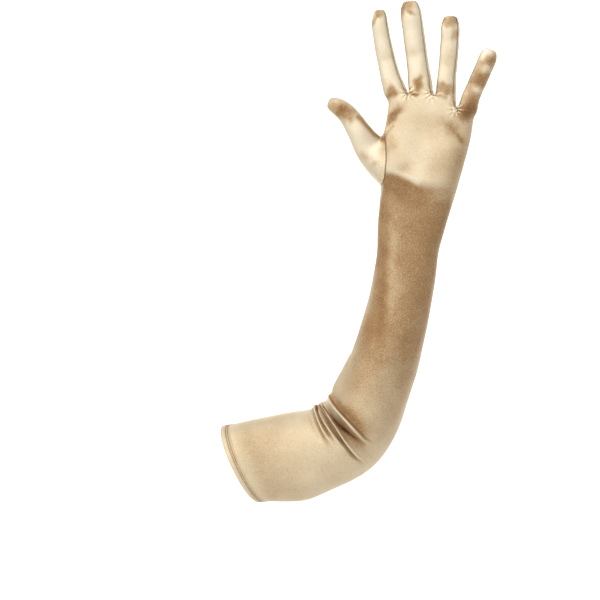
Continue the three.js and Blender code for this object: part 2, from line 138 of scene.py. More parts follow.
def walk(start, length, headingFor, steps=600):
    # the places along a path that starts at start and turns as headingFor says: a running sum of short steps
    middles = (np.arange(steps) + 0.5) * length / steps
    moves = direction(headingFor(middles)) * length / steps
    places = np.concatenate([np.zeros((1, 3)), np.cumsum(moves, 0)]) + start
    marks = np.linspace(0, length, steps + 1)

    def placeAt(distance):
        return np.stack([np.interp(distance, marks, places[:, axis]) for axis in range(3)], -1)

    return placeAt


sleevePlace = walk(np.zeros(3), knuckleAt, headingAt)


def sleevePoint(at, across, onBack, bulge=0):
    # a superellipse across the path at each place: across is 1 at the thumb side and -1 at the other
    width, depth, fullness = (through(sections, at, column) for column in (1, 2, 3))
    out = np.clip(1 - np.abs(across) ** fullness, 0, None) ** (1 / fullness)
    rise = out * np.where(onBack, depth / 2, -depth / 2 - bulge)
    point = sleevePlace(at) + leftOf(headingAt(at)) * (across * width / 2)[..., None]
    point[..., 1] += rise
    return point


def gridFaces(rows, columns, first=0):  # the corners of the faces between rings of points, row by row
    row, column = np.meshgrid(np.arange(rows - 1), np.arange(columns), indexing="ij")
    after = (column + 1) % columns
    lower = first + row * columns
    return np.stack([lower + column, lower + after, lower + columns + after, lower + columns + column], -1)


# the cage of the whole glove, which a subdivision surface rounds

fingers = {
    "columns": 4,
    "flatness": 0.86,
    "squareness": 0.68,
    "swell": 1.06,  # how much wider the cage is than the finger that rounding leaves of it
    "webDrop": 0.4,
    "uv": (0.05, 0.06),  # metres of cloth round a finger, and from one finger to the next
    "shift": (0.7, -0.3, 1.3, 2.2),  # millimetres towards the thumb
    "tipShift": (-1.4, 0, 0, 0.5),
    "sideInset": 0.1,
    # name, length, width on the knuckles, width, width of the tip, heading, turn, forward lean
    "rows": [
        ("index", 84, 17.6, 19.8, 13.9, 108, -13, 0.09),
        ("middle", 86.4, 19.5, 20.9, 18.8, 97.5, -1, 0.07),
        ("ring", 77.4, 20, 17.4, 16.8, 81, 7, 0.08),
        ("little", 62.8, 16, 16.6, 16, 65, 0, 0.06),
    ],
    # share of the length, size, degrees that the side strip reaches round, how far the pads stand out
    "shape": [
        (0, 1, 44, 0), (0.06, 1.14, 38, -0.1), (0.12, 1.12, 34, 0.1), (0.2, 1.06, 33, 0.4), (0.3, 1.02, 32, 0.4),
        (0.4, 1, 31, -0.1), (0.5, 1.01, 29, 0.3), (0.6, 1.02, 28, 0.3), (0.68, 1, 27, -0.1), (0.78, 1.02, 26, 0.4),
        (0.87, 1, 22, 0.3), (0.93, 0.92, 18, 0), (0.97, 0.76, 16, 0), (1, 0.44, 16, 0),
    ],
}
thumb = {
    "length": 77.3,
    "width": 20,
    "flatness": 0.9,
    "swell": 1.07,
    "uv": (0.06, 0.0745),  # metres of cloth round the thumb and along it
    "from": 0.44,
    "to": 0.765,
    "frontColumn": 1,
    "backColumn": -3,
    "rows": 5,
    "forward": 9,
    "ball": (0.17, 0.14, 1.7),  # place, length and height of the form on its outer side
    # share of the length, size, heading
    "shape": [
        (0, 2, 147), (0.12, 1.56, 141), (0.25, 1.4, 131), (0.4, 1.13, 123), (0.55, 1, 121),
        (0.68, 0.91, 128), (0.8, 0.84, 142), (0.9, 0.74, 154), (0.97, 0.54, 160), (1, 0.26, 160),
    ],
    "ringsAt": [0.05, 0.12, 0.19, 0.27, 0.35, 0.43, 0.51, 0.59, 0.67, 0.75, 0.83, 0.9, 0.95, 0.985, 1],
}
overrun = 1.01  # how far the cage of a finger or thumb runs past its tip, which rounding draws in
palm = {
    "web": (0.72, 0.1, 2.6),  # place, length and height of the cloth that stands out beside the thumb
    "edge": (0.87, 0.16, 1.4),  # the same of the edge across from the thumb
    "heelHeight": 6.5,
    # across the palm, share of its length at which the heel turns down to the wrist
    "heelLine": [(-1, 0.485), (-0.5, 0.462), (0, 0.455), (0.5, 0.485), (1, 0.51)],
    # along, across, spread and height of the other forms
    "forms": [(0.6, 0.5, 0.26, 2.2), (0.68, 0.0, 0.25, -3.2), (0.93, 0.3, 0.14, 1.2), (0.93, -0.3, 0.14, 1.2)],
}
pieceNames = ["trank", "thumb", "fourchette_index_middle", "fourchette_middle_ring", "fourchette_ring_little"]
columns = sleeve["columns"]
ringAngle = 360 * np.arange(columns) / columns
knuckleWidth = sum(row[2] for row in fingers["rows"]) + 3 * sleeve["webGap"]


def acrossKnuckles():
    # where each column of the palm ends on the line of the knuckles, from 1 at the thumb side to -1
    edges, middles, edge = [], [], 0.0
    for i, row in enumerate(fingers["rows"]):
        last = i == len(fingers["rows"]) - 1
        inset = fingers["sideInset"] * row[2]
        width = row[2] + (0.5 if i == 0 or last else 1) * sleeve["webGap"]
        low, high = edge + (inset if i == 0 else 0), edge + width - (inset if last else 0)
        edges.append(np.linspace(low, high, fingers["columns"] + 1)[: None if last else -1])
        middles.append(edge + (0 if i == 0 else 0.5 * sleeve["webGap"]) + row[2] / 2)
        edge += width
    front = 1 - 2 * np.concatenate(edges) / knuckleWidth
    around = np.concatenate([[1], front, [-1], front[::-1]])
    return around, 1 - 2 * np.array(middles) / knuckleWidth


knuckleAcross, fingerAcross = acrossKnuckles()


def palmBulge(along, across):
    heel = np.interp(across, *zip(*palm["heelLine"]))
    bulge = palm["heelHeight"] * smooth(along, heel - 0.13, heel + 0.01) * (1 - smooth(along, heel, heel + 0.4))
    for place, side, spread, height in palm["forms"]:
        up = (along - place) * sleeve["palmLength"] / (spread * sleeve["palmWidth"])
        bulge = bulge + height * np.exp(-(up**2) - ((across - side) * 0.5 / spread) ** 2)
    return bulge


def slantedPoint(at, across, onBack):  # the same, slanted towards the open hem
    slant = np.tan(np.radians(sleeve["hemSlant"])) * across * sleeve["hemWidth"] / 2
    slant = slant * (1 - smooth(at, 0, 0.7 * elbowAt))
    return sleevePoint(at, across, onBack) - direction(sleeve["upperHeading"]) * slant[..., None]


def sleeveRings(at):
    at = at[:, None] + 0 * ringAngle[None]
    return slantedPoint(at, np.cos(np.radians(ringAngle))[None] + 0 * at, ringAngle[None] > 180)


def palmRings(along):
    # rings whose points drift from even spacing at the wrist to the fingers' edges at the knuckles
    along = along[:, None] + 0 * ringAngle[None]
    even = np.cos(np.radians(ringAngle))[None]
    spread = mix(even, knuckleAcross[None], smooth(along, 0, 1))
    nudged = spread + through(thumbEdge, along, 1) * smooth(spread, 0.1, 0.98)
    pinched = mix(spread, 1 - (1 - spread) * through(thumbEdge, along, 2), smooth(spread, 0.3, 0.8))
    onBack = ringAngle[None] > 180
    across = np.where(onBack, pinched, np.minimum(nudged, 0.995))
    across[:, 0] = spread[:, 0]
    at = wristAt + sleeve["palmLength"] * along * (1 + through(knuckleLine, (1 - across) / 2))
    place, length, height = palm["web"]
    web = height * bell(along - place, length) * smooth(across, 0.65, 1)
    place, length, height = palm["edge"]
    web -= height * bell(along - place, length) * smooth(-across, 0.65, 1)
    bulge = palmBulge(along, across) * smooth(1 - along, 0, 0.12)
    return sleevePoint(at, across, onBack, bulge) + leftOf(headingAt(at)) * web[..., None]


class Cage:  # points, faces and their marks, added ring by ring
    def __init__(self):
        self.points, self.marks, self.faces, self.pieces, self.uvs = [], [], [], [], []
        self.count = 0

    def addPoints(self, points, station, angle):
        points = np.asarray(points, float).reshape(-1, 3)
        marks = np.stack([station + np.zeros(len(points)), angle + np.zeros(len(points))], -1)
        self.points.append(points)
        self.marks.append(marks)
        first, self.count = self.count, self.count + len(points)
        return np.arange(first, self.count)

    def addRing(self, lower, upper, piece, across, along):
        # across holds one more value than the ring has points, along the two stations
        count = len(lower)
        after = (np.arange(count) + 1) % count
        quads = np.stack([lower, lower[after], upper[after], upper], -1)
        low, high = np.full(count, along[0]), np.full(count, along[1])
        uv = np.stack([across[:-1], low, across[1:], low, across[1:], high, across[:-1], high], -1)
        keep = piece >= 0
        self.faces += quads[keep].tolist()
        self.pieces += piece[keep].tolist()
        self.uvs += uv[keep].reshape(-1, 2).tolist()

    def addTip(self, ring, pairs, piece, along):
        for (a, b), (c, d) in zip(pairs[:-1], pairs[1:]):
            corners = list(dict.fromkeys([ring[a], ring[c], ring[d], ring[b]]))
            self.faces.append([int(corner) for corner in corners])
            self.pieces.append(piece)
            self.uvs += [[0.01 * n, along] for n in range(len(corners))]


cage = Cage()
girth = 0.236  # metres of cloth round the arm, for the weave
sleeveUv = girth * np.arange(columns + 1) / columns
bendRows = np.arange(elbowAt - 0.42 * elbowArc, elbowAt + 0.5 * elbowArc, 2.9)
sleeveRows = np.concatenate([
    np.arange(0, sleeve["hemDepth"] + 1, 4.5),
    np.arange(sleeve["hemDepth"] + 6, bendRows[0] - 4, 8.0),
    bendRows,
    np.linspace(bendRows[-1] + 5, wristAt, 15),
])
palmRows = np.concatenate([
    np.linspace(0, thumb["from"], 8)[1:],
    np.linspace(thumb["from"], thumb["to"], thumb["rows"] + 1)[1:],
    np.linspace(thumb["to"], 1, 6)[1:],
])
hemRows = int(np.argmin(abs(sleeveRows - sleeve["hemDepth"])))
allRings = np.concatenate([sleeveRings(sleeveRows), palmRings(palmRows)])
ringStations = np.concatenate([sleeveRows, wristAt + sleeve["palmLength"] * palmRows])
rings = [cage.addPoints(ring, at, ringAngle) for ring, at in zip(allRings, ringStations)]
firstPalm = len(sleeveRows)
openRows = [firstPalm + i for i, along in enumerate(palmRows) if thumb["from"] + 1e-6 < along < thumb["to"] + 1e-6]
opening = (np.arange(columns) < thumb["frontColumn"]) | (np.arange(columns) >= columns + thumb["backColumn"])
for i in range(hemRows + 1, len(rings)):
    piece = np.where(opening, -1, 0) if i in openRows else np.zeros(columns, int)
    cage.addRing(rings[i - 1], rings[i], piece, sleeveUv, ringStations[i - 1 : i + 1] * mm)

# fingers, each on its part of the last ring of the palm
ringSize = 2 * fingers["columns"] + 4
knuckles = rings[-1]
knucklePoints = allRings[-1]
webs = []
for i in range(3):
    column = (i + 1) * fingers["columns"] + 1
    middle = (knucklePoints[column] + knucklePoints[columns - column]) / 2
    webs.append(cage.addPoints(middle - direction(sleeve["handHeading"]) * fingers["webDrop"], knuckleAt, 90)[0])
stripAngle = np.linspace(0, 1, fingers["columns"] + 1)
for i, (name, length, root, width, tip, heading, turn, lean) in enumerate(fingers["rows"]):
    start = i * fingers["columns"] + 1
    front = knuckles[start : start + fingers["columns"] + 1]
    back = knuckles[columns - start - np.arange(fingers["columns"] + 1)][::-1]
    outer = webs[i] if i < 3 else knuckles[columns // 2]
    inner = webs[i - 1] if i > 0 else knuckles[0]
    ring = np.concatenate([front, [outer], back, [inner]])
    at = knuckleAt + sleeve["palmLength"] * through(knuckleLine, (1 - fingerAcross[i]) / 2)
    foot = sleevePlace(at) + leftOf(headingAt(at)) * fingerAcross[i] * knuckleWidth / 2
    headingFor = lambda distance: heading + turn * distance / length
    placeAt = walk(foot, length, headingFor)
    side = np.zeros(ringSize, int)
    if i < 3:
        side[fingers["columns"] : fingers["columns"] + 2] = 2 + i
    if i > 0:
        side[ringSize - 2 :] = 1 + i
    ringUv = fingers["uv"][0] * np.arange(ringSize + 1) / ringSize + fingers["uv"][1] * i
    lastAt = 0
    for share in np.concatenate([np.arange(1, 18) / 18 * 0.93, [0.97, 1]]):
        size, strip, pad = (through(fingers["shape"], share, n) for n in (1, 2, 3))
        angles = mix(strip, 180 - strip, stripAngle)
        angles = np.radians(np.concatenate([angles, [180], 360 - angles[::-1], [360]]))
        sine, left = np.sin(angles), leftOf(headingFor(share * length))
        across = mix(width, tip, share) * size * fingers["swell"]
        shift = fingers["shift"][i] * smooth(share, 0, 0.3) + fingers["tipShift"][i] * smooth(share, 0.8, 1)
        centre = placeAt(share * length * overrun) - np.array([0, lean * length * share * share, 0])
        points = centre + left * shift + left * np.cos(angles)[:, None] * across / 2
        depth = across * fingers["flatness"] / 2 + np.where(sine > 0, pad, 0)
        points[:, 1] -= np.sign(sine) * np.abs(sine) ** fingers["squareness"] * depth
        at = share * length
        following = cage.addPoints(points, knuckleAt + at, 90)
        cage.addRing(ring, following, side, ringUv, [(knuckleAt + lastAt) * mm, (knuckleAt + at) * mm])
        ring, lastAt = following, at
    fold = fingers["columns"] + 1
    pairs = [(ringSize - 1, ringSize - 1), *((n, ringSize - 2 - n) for n in range(fold)), (fold, fold)]
    cage.addTip(ring, pairs, 0, (knuckleAt + length) * mm)

# thumb, on the edge of its opening
front, back = thumb["frontColumn"], columns + thumb["backColumn"]
top, bottom = rings[openRows[-1]], rings[openRows[0] - 1]
over = np.arange(front, thumb["backColumn"], -1) % columns
under = np.arange(thumb["backColumn"], front) % columns
down = [rings[row][back] for row in openRows[::-1]]
up = [rings[row][front] for row in range(openRows[0] - 1, openRows[-1])]
ring = np.concatenate([top[over], down, bottom[under], up])
openingPoints = np.concatenate(cage.points)[ring]
thumbFoot = openingPoints.mean(0)
thumbTurn = lambda distance: through(thumb["shape"], distance / thumb["length"], 2)
thumbPlace = walk(thumbFoot, thumb["length"], thumbTurn)
uvWidth, uvLength = thumb["uv"]
thumbUv = uvWidth * np.arange(len(ring) + 1) / len(ring)
angle = np.radians(-45 + 360 * np.arange(len(ring)) / len(ring))
lastShare = 0
for share in thumb["ringsAt"]:
    size = through(thumb["shape"], share) * thumb["swell"]
    heading = through(thumb["shape"], share, 2)
    depth = thumb["width"] * thumb["flatness"] * min(size, mix(1.25, 1, smooth(share, 0, 0.6)))
    centre = thumbPlace(share * thumb["length"] * overrun)
    centre = centre - np.array([0, thumb["forward"] * smooth(share, 0, 0.5), 0])
    place, length, height = thumb["ball"]
    centre = centre + leftOf(heading) * height * bell(share - place, length)
    oval = centre - leftOf(heading) * np.cos(angle)[:, None] * thumb["width"] * size / 2
    oval[:, 1] += np.sin(angle) * depth / 2
    points = mix(openingPoints + centre - thumbFoot, oval, smooth(share, 0, 0.22))
    following = cage.addPoints(points, knuckleAt + share * thumb["length"], 90)
    cage.addRing(ring, following, np.ones(len(ring), int), thumbUv, [lastShare * uvLength, share * uvLength])
    ring, lastShare = following, share
cornerTurn = thumb["frontColumn"] - thumb["backColumn"]
steps = range(cornerTurn // 2, (cornerTurn - len(ring)) // 2 - 1, -1)
pairs = [((cornerTurn - n) % len(ring), n % len(ring)) for n in steps]
cage.addTip(ring, pairs, 1, uvLength)
print("cage", cage.count, "points", len(cage.faces), "faces")


def addObject(name, data):
    thing = bpy.data.objects.new(name, data)
    bpy.context.scene.collection.objects.link(thing)
    return thing


def addMarks(mesh, marks):  # values kept with the points
    for name, values in marks.items():
        mesh.attributes.new(name, "FLOAT", "POINT").data.foreach_set("value", values)


def readBack(items, field, shape, kind=float):  # the last number of shape is how many values an item has
    values = np.empty(len(items) * abs(shape[-1]), kind)
    items.foreach_get(field, values)
    return values.reshape(shape)


def subdivided(cage, levels):
    # Catmull-Clark rounding by Blender's modifier, read back as arrays
    mesh = bpy.data.meshes.new("cage")
    points, (station, degrees) = np.concatenate(cage.points), np.concatenate(cage.marks).T
    mesh.from_pydata(points.tolist(), [], cage.faces)
    mesh.polygons.foreach_set("material_index", cage.pieces)
    marks = {"station": station, "turnCos": np.cos(np.radians(degrees)), "turnSin": np.sin(np.radians(degrees))}
    addMarks(mesh, marks)
    mesh.uv_layers.new(name="cloth").data.foreach_set("uv", np.ravel(cage.uvs))
    holder = addObject("cage", mesh)
    rounding = holder.modifiers.new("round", "SUBSURF")
    rounding.levels = rounding.render_levels = levels
    fine = bpy.data.meshes.new_from_object(holder.evaluated_get(bpy.context.evaluated_depsgraph_get()))
    result = {name: readBack(fine.attributes[name].data, "value", [-1]) for name in marks}
    result["points"] = readBack(fine.vertices, "co", [-1, 3])
    result["normals"] = readBack(fine.vertices, "normal", [-1, 3])
    result["faces"] = readBack(fine.loops, "vertex_index", [-1], int).reshape(-1, 4)
    result["uvs"] = readBack(fine.uv_layers["cloth"].data, "uv", [-1, 4, 2])
    result["pieces"] = readBack(fine.polygons, "material_index", [-1], int)
    bpy.data.objects.remove(holder)
    bpy.data.meshes.remove(mesh)
    bpy.data.meshes.remove(fine)
    return result


cloth = subdivided(cage, 2)
print("cloth", len(cloth["points"]), "points")

# the camera's place, which the folds and dents seen in the photo are laid out from
view = {"azimuth": 13, "distance": 1800, "target": (57.9, 0, 155.1), "width": 564}
viewTurn = np.radians(view["azimuth"])
viewAway = np.array([-np.sin(viewTurn), np.cos(viewTurn), 0])
viewRight = np.array([np.cos(viewTurn), np.sin(viewTurn), 0])


def seenFrom(points):  # millimetres right of and above the middle of the view, in the plane through the target
    offset = points - view["target"]
    scale = view["distance"] / (view["distance"] + offset @ viewAway)
    return (offset @ viewRight) * scale, offset[:, 2] * scale


# folds at the inside of the elbow; the lines of its four crests, as degrees from the crook and share of the bend
crests = {
    "upper": [(0, -0.19), (32, -0.145), (54, -0.133), (72, -0.134), (85, -0.125)],
    "thin": [(0, -0.09), (27, -0.065), (51, -0.056), (69, -0.046), (95, -0.04), (124, -0.036)],
    "main": [(0, -0.042), (20, 0.03), (40, 0.067), (68, 0.059), (88, 0.03), (107, 0.009), (123, -0.002)],
    "fore": [(0, 0.3), (15, 0.285), (30, 0.262), (60, 0.232), (79, 0.214), (98, 0.187), (116, 0.16)],
}
elbow = {
    # each: its line; widths towards upper arm and forearm, at the crook and at the side; height at the crook and
    # side; sharpness; first and last degrees; last degrees at the back
    "folds": [
        ([(0, -0.33), (38, -0.25), (54, -0.235), (68, -0.215), (85, -0.2)],
         (6, 4), (4.6, 3), (-0.2, -1.8), 2, -40, 96, 60),
        (crests["upper"], (3.5, 3), (2, 1.8), (2.6, 2.7), 1.5, -40, 92, 70),
        ([(0, -0.12), (27, -0.1), (54, -0.09), (80, -0.09)], (2, 2), (1.7, 1.7), (0, -2.4), 2, -40, 90, 60),
        (crests["thin"], (1.8, 1.6), (1.7, 1.1), (0, 2.5), 1.35, 24, 124, 86),
        ([(0, -0.07), (20, -0.01), (43, 0.024), (66, 0.012), (86, -0.008), (122, -0.03)],
         (1.6, 1.4), (2, 1.3), (0, -3.8), 1.7, 0, 146, 90),
        (crests["main"], (2.2, 2.4), (1.1, 1), (2, 4.6), 1.25, -40, 152, 104),
        ([(0, 0.06), (21, 0.07), (47, 0.099), (62, 0.107), (75, 0.113), (89, 0.121), (104, 0.13), (117, 0.136)],
         (4, 8), (1.6, 6), (1, -6.4), 1.4, -40, 112, 90),
        ([(60, 0.1), (75, 0.106), (89, 0.114), (104, 0.122), (120, 0.13)],
         (3, 3), (7, 2.4), (0, -5.8), 1.4, 80, 158, 96),
        (crests["fore"], (10, 10), (6, 1.3), (4.4, 5), 1.25, -40, 144, 110),
        ([(0, 0.42), (30, 0.3), (60, 0.264), (79, 0.246), (98, 0.219), (120, 0.187)],
         (5, 8), (1.5, 6), (-0.2, -2.2), 2, 12, 140, 90),
        ([(0, 0.56), (60, 0.5)], (13, 26), (10, 20), (5.4, 0), 2, -40, 62, 62),
        ([(0, -0.02), (60, 0)], (18, 16), (10, 20), (1.7, 0), 2, -40, 50, 50),
    ],
    # each: line, widths towards upper arm and forearm, first and last degrees, painted shade (below 0 a painted
    # highlight)
    "tones": [
        ([(0, -0.225), (32, -0.175), (54, -0.163), (72, -0.164), (85, -0.155)], (3.4, 1.2), 8, 98, 0.7),
        (crests["upper"], (0.7, 0.7), 0, 90, -0.9),
        ([(0, -0.14), (27, -0.102), (54, -0.092), (80, -0.09)], (1.9, 1.9), 0, 96, 0.95),
        ([(0, -0.115), (27, -0.09)], (2.2, 2.4), -20, 30, 2),
        (crests["thin"], (0.7, 0.6), 26, 120, -0.8),
        ([(0, -0.05), (27, -0.02), (51, 0.004), (69, -0.006), (95, -0.02)], (1.8, 2), 10, 110, 0.6),
        ([(0, -0.06), (20, 0.008), (40, 0.044), (68, 0.036), (88, 0.007), (107, -0.014), (123, -0.025)],
         (1.3, 0.9), 12, 152, 1.3),
        (crests["main"], (0.55, 0.5), -20, 146, -1.4),
        ([(0, 0.05), (21, 0.064), (47, 0.095), (62, 0.103), (75, 0.108), (89, 0.115)],
         (1.6, 0.9), 20, 98, 1.9),
        ([(50, 0.09), (75, 0.1), (89, 0.109), (104, 0.12), (120, 0.128)], (1.6, 0.8), 66, 134, 0.6),
        ([(40, 0.09), (62, 0.093), (89, 0.105), (104, 0.118), (120, 0.126)], (3.4, 1.5), 58, 134, 0.7),
        ([(70, 0.07), (100, 0.075), (125, 0.07)], (4, 4), 70, 150, 0.3),
        ([(0, 0.2), (30, 0.19), (60, 0.175), (79, 0.166), (98, 0.158)], (3.8, 4), -40, 76, -0.7),
        ([(60, 0.175), (79, 0.166), (98, 0.158), (120, 0.15)], (3, 3.4), 62, 132, 0.35),
        (crests["fore"], (0.8, 0.5), -20, 132, -1.3),
        ([(0, 0.33), (30, 0.288), (60, 0.256), (79, 0.237), (98, 0.211), (116, 0.185)],
         (0.8, 1), 8, 140, 0.9),
        ([(0, 0.35), (30, 0.31), (60, 0.285), (79, 0.27), (98, 0.246), (120, 0.215)],
         (2.6, 7.5), 14, 130, 0.75),
    ],
    "taper": 0.55,
    "backHeight": 0.4,
    "backWidth": 4,
    "underside": (-26, 20, 3.9),  # place from the bend, reach and depth of the flatter side under it
}


def elbowFolds(station, angle):
    # each fold is a ridge or valley that follows its own line round the arm: a bell across it with its own width on
    # either side, narrower towards its end, and faded in and out along it
    offset, turned, onBack = station - elbowAt, np.minimum(angle, 360 - angle), angle > 180
    side = smooth(turned, 8, 45)
    lift, shadeAndHighlight = np.zeros_like(station), np.zeros_like(station)
    for line, crookWidth, sideWidth, heights, sharp, start, reach, backReach in elbow["folds"]:
        place = through(line, turned) * elbowArc
        reached = np.where(onBack, backReach, reach)
        strength = smooth(turned, start - 14, start + 14) * (1 - smooth(turned, 0.62 * reached, reached))
        narrow = mix(1, elbow["taper"], smooth(turned, 0.5 * reached, reached))
        near, far = (mix(a, b, side) for a, b in zip(crookWidth, sideWidth))
        width = np.where(offset < place, near, far)
        width = np.where(onBack, np.maximum(width, elbow["backWidth"] * side), width)
        ridge = strength * np.exp(-np.abs((offset - place) / (width * narrow)) ** sharp)
        lift += mix(heights[0], heights[1] * np.where(onBack, elbow["backHeight"], 1), side) * ridge
    # painted shade in the pockets and valleys beside the folds, painted highlights along their crests
    for line, widths, start, reach, deep in elbow["tones"]:
        away = offset - through(line, turned) * elbowArc
        strength = smooth(turned, start - 8, start + 8) * (1 - smooth(turned, 0.75 * reach, reach))
        shadeAndHighlight += deep * strength * bell(away, np.where(away < 0, *widths))
    return lift, np.where(onBack, 0.5, 1) * shadeAndHighlight


angle = np.degrees(np.arctan2(cloth["turnSin"], cloth["turnCos"])) % 360
station = cloth["station"]
nearBend = abs(station - elbowAt) < elbowArc
foldLift, foldPaintedShading = elbowFolds(station, angle)
place, reach, depth = elbow["underside"]
foldLift -= depth * bell(station - elbowAt - place, reach) * smooth(-cloth["turnCos"], 0.2, 1)
cloth["points"] += cloth["normals"] * (foldLift * nearBend)[:, None]
# the folds' painted shade and highlights start the painted shading kept with the points
tone = foldPaintedShading * nearBend

# soft hollows and creases on the side that the photo shows, with painted shade in them and painted highlights beside
# some
surface = {
    # middle of each, half length, half width, turn, depth, painted shade (below 0 a painted highlight)
    "hollows": [
        (85.6, 195.2, 5.6, 5.8, 0, 1.2, 1.25), (83.5, 203, 5, 4, 0, 0.3, 0.3), (87.3, 172.6, 8.5, 4, 56, 1.4, 1.15),
        (93.5, 180.5, 5, 4, 40, 0.3, 0.45), (111.5, 203.8, 7, 5, 80, 1.5, 1.35), (106.4, 193.8, 4.8, 1.5, -6, 0.7, 1.1),
        (135.8, 199, 9, 5.8, -6, 1.2, 1.2), (159.6, 178.6, 10, 7.5, 55, 0.8, 0.9), (168.5, 204, 32, 11, 63, 0, 1.1),
        (170.6, 207, 7.5, 5, 62, 0.5, 0.5), (180.8, 225, 6.5, 5.6, 60, 0.5, 0.55), (176.5, 235, 4.5, 4.5, 0, 0, -1.1),
        (174.8, 217, 4.5, 4, 0, -0.4, -1), (166.8, 197.6, 4.5, 3.5, 0, -0.3, -1), (165, 214, 4, 14, -27, 0, 0.2),
        (146.3, 250, 6.5, 4, 60, 0.7, 0.8), (141, 262.5, 11, 6.2, 0, 0.9, 1.2), (150, 254.5, 4, 2.5, 30, 0, -0.5),
        (100.5, 277, 7, 7, 30, 0.6, 1.1), (105, 269.8, 3.6, 2.6, 0, 0.5, 0.9), (95, 271, 2.5, 6, 0, 0.2, 0.7),
        (74.6, 269.5, 6, 3.2, 50, 0.6, 1.1), (69.2, 261.5, 6, 2.2, 66, 0.3, 0.8), (44, 175.8, 9, 8, -38, 0.8, 1.45),
        (33, 182, 8, 8, -38, 0.2, 0.95), (97.6, 124, 8, 6, 0, 0.9, 0.35), (142, 162.5, 11, 5.5, -40, 0.6, 0.5),
        (151.8, 150.6, 4.5, 2.4, -50, 0.4, 0.45), (60, 134.5, 5, 4, 0, 0.6, 0.65), (68, 127, 4, 3, 0, 0.5, 0.55),
        (77.5, 143.5, 4, 7, 0, 0.3, 0.4), (86, 144, 5, 6, 0, 0.4, 0.35), (80.8, 227.5, 5, 4, 0, 0.5, 0.25),
        (107, 231.5, 7, 5, 20, 0.5, 0.35), (140, 226, 6, 14, 0, 0.2, 0.35), (120, 165, 24, 11, -12, 0.7, 0.2),
        (131.6, 141, 9, 7, 30, -0.6, 0), (154, 138, 30, 11, 80, 0.4, 0.4), (146, 118, 22, 16, 70, 0.4, 0.35),
        (84, 148, 5, 9, 0, 0, 0.2), (112, 124, 10, 14, 0, 0, -0.1), (125, 128, 12, 9, 80, 0, 0.25),
        (78.6, 15, 52, 3.8, 87.5, 0, 0.3), (86.5, 38, 48, 5.5, 89, 0, -0.3),
        (84, 105, 14, 5, -20, 0, 0.22), (132, 100, 11, 14, 0, 0, -0.18),
    ],
    # points of each, half width, depth, height of its lips, painted shade (below 0 a painted highlight)
    "creases": [
        ([(82, 116), (89.6, 114.5), (99.7, 109.5), (109.9, 104.4), (120, 102.5), (132.7, 101.9), (142, 104)],
         4.5, 1.2, 0.3, 0.25),
        ([(84, 121.5), (91, 120), (101, 115.5), (111, 111)], 2.6, -0.3, 0, -0.5),
        ([(80, 154.2), (84.2, 160.2), (87.4, 163.8)], 1.2, 0.4, 0, 0.5),
        ([(141, 163), (146.8, 157.4), (152.5, 150.2)], 2.6, 0.4, 0.1, 0.32),
        ([(101.2, 192.4), (106.2, 193.2), (110.5, 193.6)], 1.1, 0.6, 0.1, 0.4),
        ([(92, 188.8), (97.2, 189.4), (101.8, 192)], 1.6, -0.4, 0, -0.2),
        ([(124, 194.6), (131.5, 192.8), (138, 190.1)], 1.2, 0.5, 0.15, 0.5),
        ([(55.5, 172), (58.7, 168.4), (65.4, 161.2), (70.9, 155), (78, 151.4)], 2.6, 0.2, 0, 1.3),
    ],
    # the three crotches between the fingers, and the gathers that spread from each
    "crotches": [(101.5, 195), (123.3, 193.6), (146.4, 179.1)],
    "gathers": {"count": 9, "reach": 4.6, "height": 0.7, "tone": 2.4},
    "root": (66, 146, 13, 14),  # where the thumb's root is smoothed: its middle, reach and rounds
    "waves": {"height": 0.28, "length": 9, "start": (14, 40), "end": (300, 345)},
    # painted shade along the sleeve by station, deepest on the forearm and beyond
    "stretch": [
        (0, 0), (10, 0.05), (24, 0.4), (45, 0.28), (70, 0.1), (105, 0.1), (135, 0.35), (170, 0.5), (195, 0.75),
        (215, 0.97), (250, 0.85), (300, 0.9), (345, 1),
    ],
    # painted highlights and painted shade in streaks along it: degrees from the thumb side, either way up to 180,
    # spread, lightness
    "streaks": [(10, 26, 0.7), (66, 16, -0.14), (188, 20, 0.45)],
    # painted lightening of the fingers
    "fingersPaler": 0.4,
}


def relaxed(points, faces, strength, rounds):
    # each point is moved by its strength towards the middle of the points that it shares an edge with, a few times
    start, end = np.ravel(faces), np.ravel(np.roll(faces, -1, 1))
    count = len(points)
    shared = np.maximum(np.bincount(start, minlength=count) + np.bincount(end, minlength=count), 1)
    for _ in range(rounds):
        total = [np.bincount(start, way[end], count) + np.bincount(end, way[start], count) for way in points.T]
        points = points + strength[:, None] * (np.transpose(total) / shared[:, None] - points)
    return points


def lineDistance(x, z, points):  # distance from each place to the nearest point of a line of short pieces
    nearest = np.full(x.shape, 1e9)
    for (x0, z0), (x1, z1) in zip(points[:-1], points[1:]):
        dx, dz = x1 - x0, z1 - z0
        share = np.clip(((x - x0) * dx + (z - z0) * dz) / (dx * dx + dz * dz), 0, 1)
        nearest = np.minimum(nearest, np.hypot(x - x0 - share * dx, z - z0 - share * dz))
    return nearest


